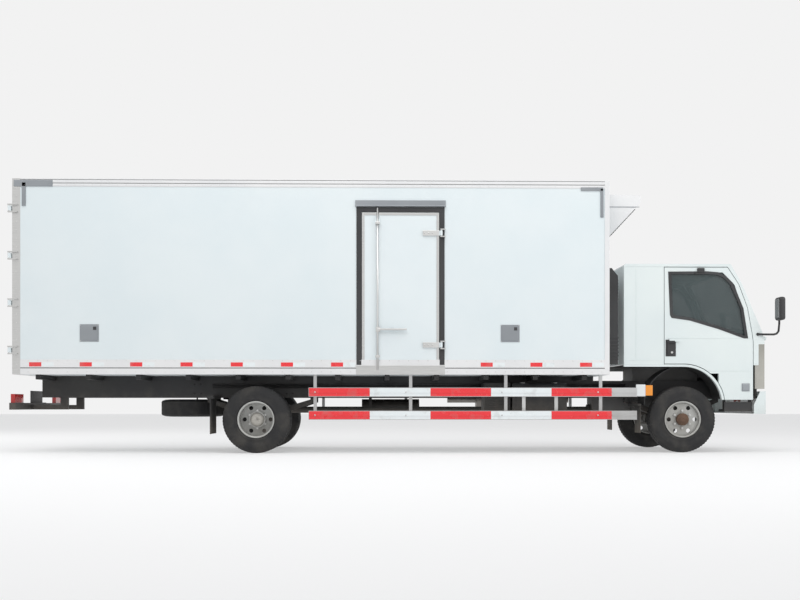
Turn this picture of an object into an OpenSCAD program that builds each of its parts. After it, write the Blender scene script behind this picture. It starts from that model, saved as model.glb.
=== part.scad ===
// Refrigerated truck: ladder frame, tilting cab and an insulated box with a fridge unit.
// Millimetres. X points forward, Y to the left, Z up; the ground is at Z = 0.

/* [Frame] */
// Distance between the axles
wheelbase = 5380; // [4900:10:6600]
// Height of the frame rails
rail_h = 220; // [180:5:270]
// Width over the frame rails
rail_w = 850; // [800:5:880]
// Width of a rail flange
rail_flange = 70; // [55:1:80]
// Thickness of the rail steel
rail_t = 8; // [5:1:10]
// Gap from the top of a standing tyre's axle to the frame's underside
frame_rise = 280; // [260:5:340]
// Height of the runners between frame and box
runner_h = 60; // [40:5:90]

/* [Wheels] */
// Radius of a tyre
tyre_r = 420; // [380:1:510]
// Width of a tyre
tyre_w = 230; // [190:1:240]
// Radius of the rim's bead seat
bead_r = 222; // [190:1:230]
// Distance of a front tyre's centre plane from the middle
front_y = 880; // [860:1:920]
// Distance of a kingpin from the middle
kingpin_y = 760; // [740:1:770]
// Distance of an outer twin tyre's centre plane from the middle
twin_y = 990; // [960:1:1010]
// Distance between the centre planes of twin tyres
twin_pitch = 268; // [250:1:290]

/* [Box] */
// Length of the insulated box
box_l = 7400; // [6600:10:8900]
// Width of the insulated box
box_w = 2350; // [2250:10:2500]
// Height of the insulated box
box_h = 2420; // [2000:10:2900]
// Thickness of the side walls, front wall, roof and doors
wall_t = 80; // [60:1:100]
// Thickness of the floor
floor_t = 120; // [90:1:160]
// Width of a rear post
post_w = 90; // [70:1:110]
// Height of the rear header
header_h = 190; // [120:5:260]
// Width of the side doorway
side_door_w = 985; // [800:5:1100]
// Height of the side doorway
side_door_h = 1905; // [1500:5:2000]
// Distance from the box's front to the side doorway
side_door_x = 2115; // [1500:5:2400]
// Gap round each box door
door_gap = 12; // [10:1:16]

/* [Cab] */
// Width of the cab
cab_w = 2100; // [1900:10:2250]
// Thickness of the cab's walls and doors
cab_t = 45; // [35:1:55]
// Gap between the cab and the box
cab_gap = 210; // [180:5:300]
// Height of the cab roof above the frame's underside
cab_roof = 1681; // [1500:1:1900]
// Gap round a cab door
cab_door_gap = 8; // [7:1:12]
// Clearance from tyre to wheel arch
arch_gap = 65; // [60:1:90]

/* [Fits] */
// Gap between two seated pieces
seat_gap = 0.3; // [0.2:0.1:0.5]
// Radial clearance of a pin in its hole
pin_gap = 0.05; // [0.03:0.01:0.1]
// Radius of the hole in a towing eye
tow_r = 20; // [15:1:25]
// Radius of a number plate screw hole
plate_hole_r = 3.5; // [2.5:0.5:5]
// Distance between the number plate screw holes
plate_pitch = 300; // [200:10:400]

/* [Hidden] */
$fn = 64;

// Places along X are measured from the rear axle; place() then centres the whole truck.
fx = wheelbase;
cab_x0 = fx - 760;
cab_x1 = fx + 1020;
box_x1 = cab_x0 - cab_gap;
box_x0 = box_x1 - box_l;
mirror_x = cab_x1 + 190;
bar_x = box_x0 - 60;
x_mid = (mirror_x + bar_x) / 2;
rail_y = rail_w / 2;
frame_z = tyre_r + frame_rise;
frame_top = frame_z + rail_h;
box_z = frame_top + runner_h;
box_top = box_z + box_h;
load_z = box_z + floor_t;
ceiling_z = box_top - wall_t;
wall_y = box_w / 2;
rail_x0 = box_x0 + 150;
rail_x1 = fx + 930;

module place() {
    translate([-x_mid, 0, 0])
        children();
}

// A block given by its low and high corners.
module block(low, high) {
    translate(low)
        cube(high - low);
}

// The children at both sides.
module both() {
    children();
    mirror([0, 1, 0])
        children();
}

// A cylinder along Y from y0 to y1.
module rod_y(x, z, r, y0, y1) {
    translate([x, y0, z])
        rotate([-90, 0, 0])
            cylinder(r = r, h = y1 - y0);
}

// A cylinder along X from x0 to x1.
module rod_x(y, z, r, x0, x1) {
    translate([x0, y, z])
        rotate([0, 90, 0])
            cylinder(r = r, h = x1 - x0);
}

// An outline in X and Z, drawn through from y0 to y1.
module slab_y(y0, y1) {
    translate([0, y1, 0])
        rotate([90, 0, 0])
            linear_extrude(y1 - y0)
                children();
}

// ---- frame and running gear ----

tilt_x = cab_x1 - 20;
tilt_z = frame_z + 75;
tilt_pin_r = 10;
tilt_boss_r = 20;
arm_y = [rail_y - 22, rail_y + 4];
tow_y = 300;

module ladder_frame() {
    members = [rail_x0 + 30, -900, -430, 330, 1300, 2400, 3500, 4240];
    color("#1b1c1e") place() {
        both() {
            difference() {
                block([rail_x0, rail_y - rail_flange, frame_z], [rail_x1, rail_y, frame_top]);
                block([rail_x0 - 1, rail_y - rail_flange - 1, frame_z + rail_t],
                    [rail_x1 + 1, rail_y - rail_t, frame_top - rail_t]);
            }
            // ears of the cab's tilt hinge, with their pin
            block([rail_x1 - 30, rail_y - rail_t - 1, tilt_z - 30], [rail_x1 + 15, rail_y + 24, tilt_z + 30]);
            block([rail_x1 - 30, arm_y[0] - 18, tilt_z - 30], [rail_x1 + 15, rail_y - rail_t, tilt_z + 30]);
            for (y = [[arm_y[0] - 18, arm_y[0] - 6], [arm_y[1] + 6, arm_y[1] + 18]]) {
                block([rail_x1 + 10, y[0], tilt_z - tilt_boss_r], [tilt_x, y[1], tilt_z + tilt_boss_r]);
                rod_y(tilt_x, tilt_z, tilt_boss_r, y[0], y[1]);
            }
            rod_y(tilt_x, tilt_z, tilt_pin_r, arm_y[0] - 10, arm_y[1] + 10);
        }
        for (x = members)
            block([x - 30, -rail_y + rail_t / 2, frame_z + 40], [x + 30, rail_y - rail_t / 2, frame_top - 40]);
    }
}

module runners() {
    color("#2a2b2d") place()
        both() {
            block([box_x0 + 150, rail_y - rail_flange, frame_top], [box_x1 - 60, rail_y, box_z]);
            for (i = [0 : 11])
                block([box_x0 + 300 + i * (box_l - 600) / 11 - 30, rail_y - 1, frame_top],
                    [box_x0 + 300 + i * (box_l - 600) / 11 + 30, wall_y - 60, box_z]);
        }
}

king_r = 20;
boss_r = 42;
boss_h = 100;
spindle_r = 35;

module front_axle() {
    color("#26282a") place()
        difference() {
            union() {
                block([fx - 45, -kingpin_y, tyre_r - boss_h / 2], [fx + 45, kingpin_y, tyre_r + boss_h / 2]);
                both()
                    translate([fx, kingpin_y, tyre_r - boss_h / 2])
                        cylinder(r = boss_r + 3, h = boss_h);
            }
            both() {
                translate([fx, kingpin_y, tyre_r - boss_h])
                    cylinder(r = king_r + pin_gap, h = 2 * boss_h);
                for (side = [-1, 1])
                    block([fx + side * 31 - 16, -kingpin_y + 120, tyre_r - 30],
                        [fx + side * 31 + 16, kingpin_y - 120, tyre_r + 30]);
            }
        }
}

// A steering knuckle: a fork round the axle's boss, its kingpin and the wheel's spindle.
module knuckle() {
    color("#303234") place() {
        translate([fx, kingpin_y, tyre_r - boss_h / 2 - 32])
            cylinder(r = king_r, h = boss_h + 64);
        for (z = [tyre_r - boss_h / 2 - 32, tyre_r + boss_h / 2 + 6]) {
            translate([fx, kingpin_y, z])
                cylinder(r = boss_r, h = 26);
            block([fx - 40, kingpin_y, z], [fx + 40, kingpin_y + boss_r + 34, z + 26]);
        }
        block([fx - 40, kingpin_y + boss_r + 10, tyre_r - boss_h / 2 - 32],
            [fx + 40, kingpin_y + boss_r + 34, tyre_r + boss_h / 2 + 32]);
        rod_y(fx, tyre_r, spindle_r, kingpin_y + boss_r + 30, front_y + 90);
        block([fx - 190, kingpin_y - 20, tyre_r - boss_h / 2 - 32],
            [fx - 30, kingpin_y + 20, tyre_r - boss_h / 2 - 12]);
    }
}

module knuckle_left() {
    knuckle();
}

module knuckle_right() {
    mirror([0, 1, 0])
        knuckle();
}

prop_z = tyre_r + 120;
stub_r = 50;
tube_r = 65;
hub_y0 = twin_y - twin_pitch / 2 - 60;

module rear_axle() {
    color("#222426") place() {
        rod_y(0, tyre_r, tube_r, -hub_y0 + 12, hub_y0 - 12);
        rod_y(0, tyre_r, stub_r, -hub_y0 - 110, hub_y0 + 110);
        translate([0, 0, tyre_r])
            sphere(r = 190);
        rod_x(0, prop_z, 75, 0, 300);
    }
}

// A leaf spring: seat on the axle at z0, ends under the frame.
module leaf_spring(x, y0, y1, z0, half) {
    translate([x, 0, 0])
        slab_y(y0, y1)
            polygon([[-half, frame_z], [-half, frame_z - 60], [-half * 0.4, z0], [half * 0.4, z0],
                [half, frame_z - 60], [half, frame_z], [half - 60, frame_z], [half - 60, frame_z - 25],
                [half * 0.35, z0 + 70], [-half * 0.35, z0 + 70], [60 - half, frame_z - 25],
                [60 - half, frame_z]]);
}

module leaf_springs() {
    color("#2c2d2e") place()
        both() {
            leaf_spring(fx, rail_y - rail_flange, rail_y - seat_gap, tyre_r + boss_h / 2, 620);
            leaf_spring(0, rail_y - rail_flange, rail_y - seat_gap, tyre_r + tube_r + seat_gap, 700);
        }
}

module engine_block() {
    color("#55585a") place() {
        block([fx - 480, -290, tyre_r + 90], [fx + 380, 290, frame_z + 395]);
        both()
            block([fx - 60, 280, frame_z + 30], [fx + 60, rail_y - rail_t - seat_gap, frame_z + 110]);
    }
}

module gearbox() {
    color("#6b6e70") place()
        block([fx - 1000, -170, prop_z - 120], [fx - 480, 170, prop_z + 200]);
}

module prop_shaft() {
    color("#3a3b3c") place() {
        rod_x(0, prop_z, 42, 300, fx - 1000);
        rod_x(0, prop_z, 70, 300, 340);
        rod_x(0, prop_z, 70, fx - 1040, fx - 1000);
    }
}

tank_x = [box_x1 - 1190, box_x1 - 500];
battery_x = [box_x1 - 1540, box_x1 - 1210];
tank_y = [rail_y + 60, rail_y + 560];
tank_z = [frame_z - 255, frame_top - 40];

// A rounded box that lies along X.
module round_tank(x, y, z, r) {
    translate([x[0], 0, 0])
        rotate([90, 0, 90])
            linear_extrude(x[1] - x[0])
                hull()
                    for (a = [y[0] + r, y[1] - r], b = [z[0] + r, z[1] - r])
                        translate([a, b])
                            circle(r = r, $fn = 32);
}

// Two brackets that carry a tank on the rail.
module tank_brackets(x, y0) {
    for (a = [x[0] + 110, x[1] - 110])
        block([a - 25, rail_y, frame_z + 20], [a + 25, y0 + 12, frame_z + 90]);
}

module fuel_tank() {
    color("#242628") place()
        mirror([0, 1, 0]) {
            round_tank(tank_x, tank_y, tank_z, 70);
            tank_brackets(tank_x, tank_y[0]);
        }
}

module battery_box() {
    color("#2e3033") place()
        mirror([0, 1, 0]) {
            block([battery_x[0], tank_y[0], tank_z[0] + 80], [battery_x[1], tank_y[1] - 60, tank_z[1]]);
            block([battery_x[0] + 100, rail_y, frame_z + 20], [battery_x[1] - 100, tank_y[0] + 5, frame_z + 90]);
        }
}

module air_tanks() {
    color("#2b2d2f") place()
        for (z = [frame_z - 120, frame_z + 105]) {
            rod_x(rail_y + 200, z, 105, 1300, 2100);
            for (x = [1400, 1960]) {
                block([x, rail_y, z - 20], [x + 40, rail_y + 110, z + 20]);
                block([x, rail_y, z - 20], [x + 40, rail_y + 12, frame_z + 125]);
            }
        }
}

module exhaust() {
    color("#8b8d8e") place() {
        rod_x(rail_y + 230, frame_z - 20, 130, 2900, 3750);
        rod_x(rail_y + 230, frame_z - 20, 45, 2500, 4200);
        for (x = [3000, 3600])
            block([x, rail_y, frame_z + 30], [x + 40, rail_y + 130, frame_z + 70]);
    }
}

// ---- wheels ----

// A tyre in the XZ plane, its middle at y.
module tyre(y) {
    half = tyre_w / 2;
    translate([0, y, 0])
        rotate([90, 0, 0])
            rotate_extrude($fn = 96)
                polygon([[bead_r, -half * 0.78], [bead_r + 30, -half * 0.92], [bead_r + 90, -half],
                    [tyre_r - 50, -half * 0.96], [tyre_r - 12, -half * 0.84], [tyre_r, -half * 0.7],
                    [tyre_r, half * 0.7], [tyre_r - 12, half * 0.84], [tyre_r - 50, half * 0.96],
                    [bead_r + 90, half], [bead_r + 30, half * 0.92], [bead_r, half * 0.78]]);
}

// A steel rim: barrel at y, disc from d0 to d1, with hand holes.
module rim(y, d0, d1) {
    half = tyre_w * 0.43;
    outer = bead_r - seat_gap;
    low = min(y - half, d0);
    high = max(y + half, d1);
    difference() {
        union() {
            difference() {
                rod_y(0, 0, outer, low, high);
                rod_y(0, 0, outer - 9, low - 1, high + 1);
            }
            rod_y(0, 0, outer - 5, d0, d1);
        }
        for (a = [0 : 60 : 300])
            rotate([0, a, 0])
                rod_y(165, 0, 27, d0 - 1, d1 + 1);
    }
}

hub_face = front_y + 45;

module front_rim() {
    color("#b4b6b5") place()
        translate([fx, 0, tyre_r])
            difference() {
                union() {
                    rim(front_y, hub_face, hub_face + 12);
                    rod_y(0, 0, 75, kingpin_y + boss_r + 44, hub_face + 60);
                }
                rod_y(0, 0, spindle_r + pin_gap, kingpin_y + boss_r, front_y + 95);
            }
}

module front_tyre() {
    color("#17181a") place()
        translate([fx, 0, tyre_r])
            tyre(front_y);
}

module rear_rims() {
    mid = twin_y - twin_pitch / 2;
    color("#b4b6b5") place()
        translate([0, 0, tyre_r])
            difference() {
                union() {
                    rim(twin_y, mid, mid + 12);
                    rim(twin_y - twin_pitch, mid - 12, mid);
                    rod_y(0, 0, 105, hub_y0, mid + 70);
                }
                rod_y(0, 0, stub_r + pin_gap, hub_y0 - 1, hub_y0 + 115);
            }
}

module rear_tyres() {
    color("#17181a") place()
        translate([0, 0, tyre_r]) {
            tyre(twin_y);
            tyre(twin_y - twin_pitch);
        }
}

module front_rim_left() {
    front_rim();
}

module front_rim_right() {
    mirror([0, 1, 0])
        front_rim();
}

module front_tyre_left() {
    front_tyre();
}

module front_tyre_right() {
    mirror([0, 1, 0])
        front_tyre();
}

module rear_rims_left() {
    rear_rims();
}

module rear_rims_right() {
    mirror([0, 1, 0])
        rear_rims();
}

module rear_tyres_left() {
    rear_tyres();
}

module rear_tyres_right() {
    mirror([0, 1, 0])
        rear_tyres();
}

spare_x = -950;
spare_z = frame_z - tyre_w / 2 - 22;

module spare_wheel() {
    color("#1a1b1c") place() {
        translate([spare_x, 0, spare_z])
            rotate([90, 0, 0]) {
                tyre(0);
                rim(0, 30, 42);
            }
        // carrier: a plate under the rim, hung by a screw from the frame
        translate([spare_x + 50, 0, spare_z - 60])
            cylinder(r = 10, h = frame_z + 40 - spare_z + 60);
        block([spare_x - 100, -60, spare_z - 60], [spare_x + 100, 60, spare_z - 42 - seat_gap]);
    }
}

// ---- what hangs on the frame ----

guard_z = [[frame_z - 281, frame_z - 169], [frame_z + 6, frame_z + 119]];
guard_x = [660, fx - 620];
guard_y = wall_y - 55;

module side_guards() {
    color("#c9cbcd") place()
        both() {
            for (z = guard_z)
                block([guard_x[0], guard_y, z[0]], [guard_x[1], guard_y + 28, z[1]]);
            for (i = [0 : 3]) {
                x = guard_x[0] + 60 + i * (box_x1 - guard_x[0] - 180) / 3;
                block([x, guard_y - 30, guard_z[0][0]], [x + 40, guard_y + 1, box_z]);
            }
        }
}

bar_z = [frame_z - 156, frame_z - 70];

module underrun_bar() {
    color("#8e9193") place() {
        block([bar_x, -wall_y + 75, bar_z[0]], [bar_x + 80, wall_y - 75, bar_z[1]]);
        both() {
            block([bar_x + 79, rail_y - 60, bar_z[0]], [rail_x0 + 330, rail_y - 10, bar_z[0] + 60]);
            block([rail_x0 + 230, rail_y - 60, bar_z[0]], [rail_x0 + 330, rail_y - 10, frame_z]);
        }
    }
}

module rear_lamps() {
    color("#8c1512") place()
        both()
            block([bar_x + 8, wall_y - 450, bar_z[1]], [bar_x + 60, wall_y - 110, bar_z[1] + 110]);
}

plate_z = bar_z[1] + 90;

module plate_bracket() {
    color("#2a2b2c") place()
        difference() {
            union() {
                block([bar_x + 4, -260, bar_z[1]], [bar_x + 10, 260, bar_z[1] + 160]);
                block([bar_x + 4, -260, bar_z[1]], [bar_x + 60, 260, bar_z[1] + 6]);
            }
            for (side = [-1, 1])
                rotate([0, 90, 0])
                    translate([-plate_z, side * plate_pitch / 2, bar_x - 10])
                        cylinder(r = plate_hole_r, h = 40);
        }
}

flap_x = -tyre_r - 150;

module mud_flaps() {
    color("#1d1e1f") place()
        both() {
            block([flap_x, twin_y - 390, tyre_r - 180], [flap_x + 10, twin_y + 115, frame_z - 20]);
            block([flap_x - 40, rail_y, frame_z - 20], [flap_x + 40, twin_y + 100, frame_z + 20]);
            block([fx - tyre_r - 130, kingpin_y - 40, tyre_r - 170],
                [fx - tyre_r - 120, kingpin_y + 250, frame_z - 110]);
            block([fx - tyre_r - 150, rail_y, frame_z - 110],
                [fx - tyre_r - 110, kingpin_y + 240, frame_z - 80]);
            block([fx - tyre_r - 150, rail_y, frame_z - 110], [fx - tyre_r - 110, rail_y + 20, frame_z + 40]);
        }
}

bumper_z = [frame_z - 210, tilt_z];
bumper_x = cab_x1 + 12;
bumper_y = cab_w / 2 + 14;

module front_bumper() {
    color("#e6e8e6") place() {
        difference() {
            block([bumper_x - 150, -bumper_y, bumper_z[0]], [bumper_x, bumper_y, bumper_z[1]]);
            block([bumper_x - 151, -bumper_y + 6, bumper_z[0] + 6],
                [bumper_x - 6, bumper_y - 6, bumper_z[1] - 6]);
            block([bumper_x - 151, -bumper_y + 6, bumper_z[0] - 1],
                [bumper_x - 62, bumper_y - 6, bumper_z[1] + 1]);
            both()
                block([bumper_x - 151, rail_y - 50, bumper_z[1] - 10],
                    [bumper_x - 6, rail_y + 34, bumper_z[1] + 1]);
            // the upper rear corners of its ends leave room for open doors when the cab tilts
            rotate([90, 0, 0])
                linear_extrude(4 * bumper_y, center = true)
                    polygon([[bumper_x - 151, bumper_z[1] - 170], [bumper_x - 151, bumper_z[1] + 1],
                        [bumper_x - 70, bumper_z[1] + 1], [bumper_x - 80, bumper_z[1] - 20]]);
        }
        both()
            block([rail_x1, rail_y - 68, frame_z], [bumper_x - 5, rail_y - 50, frame_z + 30]);
    }
}

module front_tow_eye() {
    color("#6d2a22") place()
        difference() {
            block([fx + 870, -tow_y - 13, frame_z - 100], [rail_x1 + 25, -tow_y + 13, frame_z - 15]);
            rod_y(fx + 912, frame_z - 60, tow_r, -tow_y - 20, -tow_y + 20);
        }
    color("#6d2a22") place()
        block([fx + 870, -rail_y, frame_z - 15], [fx + 925, -tow_y + 13, frame_z]);
}

// ---- insulated box ----

frame_d = 100;
side_x1 = box_x1 - side_door_x;
side_x0 = side_x1 - side_door_w;

module box_floor() {
    color("#d9dcdc") place()
        block([box_x0 + frame_d, -wall_y, box_z], [box_x1, wall_y, load_z]);
}

module box_roof() {
    color("#eef0ef") place()
        block([box_x0 + frame_d, -wall_y, ceiling_z], [box_x1, wall_y, box_top]);
}

module box_front_wall() {
    color("#eef0ef") place()
        block([box_x1 - wall_t, -wall_y, load_z], [box_x1, wall_y, ceiling_z]);
}

module side_wall() {
    block([box_x0 + frame_d, wall_y - wall_t, load_z], [box_x1 - wall_t, wall_y, ceiling_z]);
}

module box_left_wall() {
    color("#e4ebee") place()
        side_wall();
}

module box_right_wall() {
    color("#e4ebee") place()
        difference() {
            mirror([0, 1, 0])
                side_wall();
            block([side_x0, -wall_y - 1, load_z - 1],
                [side_x1, -wall_y + wall_t + 1, load_z + side_door_h]);
        }
}

module rear_frame() {
    color("#b9bcbd") place()
        difference() {
            block([box_x0, -wall_y, box_z], [box_x0 + frame_d, wall_y, box_top]);
            block([box_x0 - 1, -wall_y + post_w, load_z], [box_x0 + frame_d + 1, wall_y - post_w,
                box_top - header_h]);
        }
}

// Hinges of the box doors: each axis stands off the box, with ears above and below a blade.
hinge_pin_r = 8;
ear_h = 14;
side_axis = [side_x1 + 15, wall_y + 25];
rear_axis = [box_x0 - 35, wall_y + 20];
side_hinge_z = [load_z + 0.13 * side_door_h, load_z + 0.86 * side_door_h];
rear_hinge_z = [for (i = [0 : 3]) load_z + 180 + i * (box_top - header_h - load_z - 360) / 3];

module box_hinges() {
    color("#c6c8c9") place() {
        mirror([0, 1, 0])
            for (z = side_hinge_z) {
                translate([side_axis[0], side_axis[1], z - 52])
                    cylinder(r = hinge_pin_r, h = 104);
                for (side = [-1, 1])
                    block([side_axis[0] - 14, wall_y, z + side * 45 - ear_h / 2],
                        [side_axis[0] + 50, side_axis[1] + 14, z + side * 45 + ear_h / 2]);
            }
        both()
            for (z = rear_hinge_z) {
                translate([rear_axis[0], rear_axis[1], z - 52])
                    cylinder(r = hinge_pin_r, h = 104);
                for (side = [-1, 1])
                    block([rear_axis[0] - 14, wall_y, z + side * 45 - ear_h / 2],
                        [box_x0 + 70, rear_axis[1] + 14, z + side * 45 + ear_h / 2]);
            }
    }
}

// A blade round a hinge pin at the origin; it reaches along -X and stands off the door by `lift`.
module hinge_blade(lift, reach, edge) {
    difference() {
        union() {
            translate([0, 0, -31])
                cylinder(r = 14, h = 62);
            block([-14, -lift + 8, -31], [0, 0, 31]);
            block([-reach, -lift + 8, -31], [0, -lift + 16, 31]);
            block([-reach, -lift, -31], [-edge, -lift + 9, 31]);
        }
        translate([0, 0, -40])
            cylinder(r = hinge_pin_r + pin_gap, h = 80);
    }
}

// A lock rod with its guides and handle, on a door face at Y = 0, outwards along +Y.
module lock_rod(z0, z1, guides, handle_z, swing) {
    translate([0, 20, z0])
        cylinder(r = 11, h = z1 - z0);
    for (z = guides)
        block([-28, 0, z - 25], [28, 22, z + 25]);
    block([0, 15, handle_z - 12], [swing, 27, handle_z + 12]);
    block([swing * 0.55, 0, handle_z - 40], [swing * 0.55 + 30, 16, handle_z + 40]);
}

module side_door() {
    x1 = side_x1 - door_gap;
    x0 = side_x0 + door_gap;
    z1 = load_z + side_door_h - door_gap;
    color("#eef1f2") place()
        mirror([0, 1, 0]) {
            block([x0, wall_y - wall_t, load_z + door_gap], [x1, wall_y, z1]);
            for (z = side_hinge_z)
                translate([side_axis[0], side_axis[1], z])
                    hinge_blade(side_axis[1] - wall_y, 230, side_axis[0] - x1 + 6);
            translate([x0 + 195, wall_y, 0])
                lock_rod(load_z - 60, z1 + 55, [load_z + 90, z1 - 110], load_z + 440, 360);
        }
}

module rear_door() {
    y1 = wall_y - post_w - door_gap;
    z1 = box_top - header_h - door_gap;
    color("#eef1f2") place() {
        block([box_x0, 9, load_z + door_gap], [box_x0 + wall_t, y1, z1]);
        for (z = rear_hinge_z)
            translate([rear_axis[0], rear_axis[1], z])
                rotate([0, 0, 90])
                    hinge_blade(box_x0 - rear_axis[0], 330, rear_axis[1] - y1 + 6);
        translate([box_x0, 260, 0])
            rotate([0, 0, 90])
                lock_rod(load_z - 60, z1 + 55, [load_z + 120, load_z + 900, z1 - 120], load_z + 420, 360);
    }
}

module rear_door_left() {
    rear_door();
}

module rear_door_right() {
    mirror([0, 1, 0])
        rear_door();
}

module fridge_unit() {
    color("#f0f1f0") place()
        slab_y(-850, 850)
            polygon([[box_x1, box_top - 730], [box_x1 + 20, box_top - 730], [box_x1 + 40, box_top - 670],
                [box_x1 + 470, box_top - 210], [box_x1 + 470, box_top - 140], [box_x1 + 455, box_top - 120],
                [box_x1, box_top - 110]]);
}

module air_intake() {
    color("#222325") place()
        slab_y(-cab_w / 2 + 30, -cab_w / 2 + 190)
                polygon([[box_x1, frame_z + 420], [box_x1 + 140, frame_z + 420], [box_x1 + 140, frame_z + 1530],
                    [box_x1 + 60, frame_z + 1630], [box_x1, frame_z + 1630]]);
}

// ---- cab ----
// The side outline, from the rear bottom round over the roof; X from the front axle, Z from the frame.

cab_outline = [[-760, 415], [-760, cab_roof - 20], [-740, cab_roof], [590, cab_roof], [740, cab_roof - 262],
    [865, cab_roof - 562], [990, cab_roof - 850], [1020, 700], [1020, 106], [700, 106], [700, 415]];
door_outline = [[-248, 300], [-248, cab_roof - 45], [550, cab_roof - 45], [690, cab_roof - 256],
    [800, cab_roof - 551], [860, 800], [874, 700], [874, -31], [440, -31], [440, 300]];
window_outline = [[-188, cab_roof - 112], [488, cab_roof - 106], [640, cab_roof - 262], [738, cab_roof - 562],
    [795, 756], [762, 756], [450, 869], [75, 981], [-163, 1019]];
arch_r = tyre_r + arch_gap;
arch_z = -100;
cab_y = cab_w / 2;
floor_z = 415;
lamp_y = 760;
lamp_z = [106, 670];

module cab_place() {
    place()
        translate([fx, 0, frame_z])
            children();
}

module cab_block() {
    difference() {
        slab_y(-cab_y, cab_y)
            polygon(cab_outline);
        for (dz = [0, -80])
            translate([0, 0, dz])
                slab_y(-cab_y + cab_t, cab_y - cab_t)
                    offset(delta = -cab_t)
                        polygon(cab_outline);
    }
}

module cab_shell() {
    color("#eceeed") cab_place()
        difference() {
            cab_block();
            // windscreen, rear window and both doorways
            block([300, -cab_y + 120, cab_roof - 820], [1200, cab_y - 120, cab_roof - 80]);
            block([-800, -500, cab_roof - 680], [-700, 500, cab_roof - 240]);
            both()
                slab_y(cab_y - cab_t - 6, cab_y + 1)
                    offset(delta = cab_door_gap)
                        polygon(door_outline);
            // front panel and headlamps
            block([cab_x1 - fx - cab_t - 30, -cab_y - 1, 0], [cab_x1 - fx + 1, cab_y + 1, lamp_z[1]]);
            block([0, -cab_y - 1, 0], [cab_x1 - fx, cab_y + 1, floor_z - 10]);
        }
}

module front_panel() {
    color("#f0f1f0") cab_place()
        block([cab_x1 - fx - cab_t, -lamp_y, lamp_z[0]], [cab_x1 - fx, lamp_y, lamp_z[1]]);
}

module headlamps() {
    color("#cfd4d6") cab_place()
        both()
            difference() {
                block([cab_x1 - fx - 120, lamp_y, lamp_z[0]], [cab_x1 - fx, cab_y, lamp_z[1]]);
                block([cab_x1 - fx - 121, lamp_y - 1, lamp_z[0] - 1],
                    [cab_x1 - fx - cab_t, cab_y - cab_t, lamp_z[1] + 1]);
                block([cab_x1 - fx - 121, cab_y - cab_t - 1, floor_z - 10],
                    [cab_x1 - fx - cab_t - 30, cab_y + 1, lamp_z[1] + 1]);
            }
}

riser_x = 516;
seat_z = floor_z + 35;
seat_y = [210, 790];

module cab_floor() {
    wide = cab_y - cab_t - 7;
    front = cab_x1 - fx - cab_t - seat_gap;
    color("#3b3d3f") cab_place() {
        difference() {
            union() {
                block([-760 + cab_t + seat_gap, -wide, floor_z], [riser_x + 30, wide, floor_z + 35]);
                block([riser_x, -wide, -10], [riser_x + 30, wide, floor_z + 35]);
                both() {
                    block([riser_x, rail_y + 35, -10], [940, wide, 20]);
                    block([riser_x, rail_y + 35, -10], [940, rail_y + 65, 320]);
                    block([900, rail_y + 35, 112], [front, rail_y + 65, 320]);
                    block([910, rail_y + 35, -10], [940, wide, 120]);
                    // a seat's base stands on the raised floor
                    block([-620, seat_y[0] + 10, floor_z + 34], [-120, seat_y[1] - 10, seat_z + 180]);
                }
                block([riser_x, -rail_y - 65, 290], [front, rail_y + 65, 320]);
                block([936, -wide, 112], [front, wide, 170]);
            }
            block([riser_x - 1, -rail_y - 35, -20], [935, rail_y + 35, 289]);
        }
        // arms of the tilt hinge
        both()
            difference() {
                union() {
                    rod_y(tilt_x - fx, tilt_z - frame_z, tilt_boss_r, arm_y[0], arm_y[1]);
                    block([tilt_x - fx - 14, arm_y[0], tilt_z - frame_z],
                        [tilt_x - fx + 14, arm_y[1], 106 - seat_gap]);
                    block([tilt_x - fx - 50, arm_y[0], 90], [tilt_x - fx + 14, arm_y[1], 106 - seat_gap]);
                    block([tilt_x - fx - 50, arm_y[0], 90], [front, arm_y[1], 130]);
                }
                rod_y(tilt_x - fx, tilt_z - frame_z, tilt_pin_r + pin_gap, arm_y[0] - 1, arm_y[1] + 1);
            }
    }
}

// A pane in the slanted front.
module windscreen() {
    color([0.25, 0.3, 0.32, 0.5]) cab_place()
        intersection() {
            slab_y(-cab_y + 120 + seat_gap, cab_y - 120 - seat_gap)
                difference() {
                    offset(delta = -12)
                        polygon(cab_outline);
                    offset(delta = -20)
                        polygon(cab_outline);
                }
            block([300, -cab_y, cab_roof - 820 + seat_gap], [1200, cab_y, cab_roof - 80 - seat_gap]);
        }
}

module rear_window() {
    color([0.25, 0.3, 0.32, 0.5]) cab_place()
        block([-745, -500 + seat_gap, cab_roof - 680 + seat_gap],
            [-739, 500 - seat_gap, cab_roof - 240 - seat_gap]);
}

module cab_door() {
    difference() {
        slab_y(cab_y - cab_t, cab_y)
            polygon(door_outline);
        rod_y(0, arch_z, arch_r + 30 + cab_door_gap, cab_y - cab_t - 1, cab_y + 1);
        slab_y(cab_y - cab_t - 1, cab_y + 1)
            polygon(window_outline);
        block([-260, cab_y - cab_t - 1, -40], [0, cab_y + 1, floor_z + 8]);
    }
    // outside handle
    block([-190, cab_y, 700], [-60, cab_y + 22, 735]);
}

module door_glass() {
    slab_y(cab_y - 25, cab_y - 20)
        offset(delta = -seat_gap)
            polygon(window_outline);
}

module cab_door_left() {
    color("#eceeed") cab_place()
        cab_door();
}

module cab_door_right() {
    color("#eceeed") cab_place()
        mirror([0, 1, 0])
            cab_door();
}

module door_glass_left() {
    color([0.25, 0.3, 0.32, 0.5]) cab_place()
        door_glass();
}

module door_glass_right() {
    color([0.25, 0.3, 0.32, 0.5]) cab_place()
        mirror([0, 1, 0])
            door_glass();
}

module dashboard() {
    color("#4a4c4f") cab_place()
        slab_y(-cab_y + cab_t + 60, cab_y - cab_t - 60)
            polygon([[650, 620], [700, 580], [974.7, 580], [974.7, 690], [935, 800], [700, 820], [650, 760]]);
}

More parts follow.
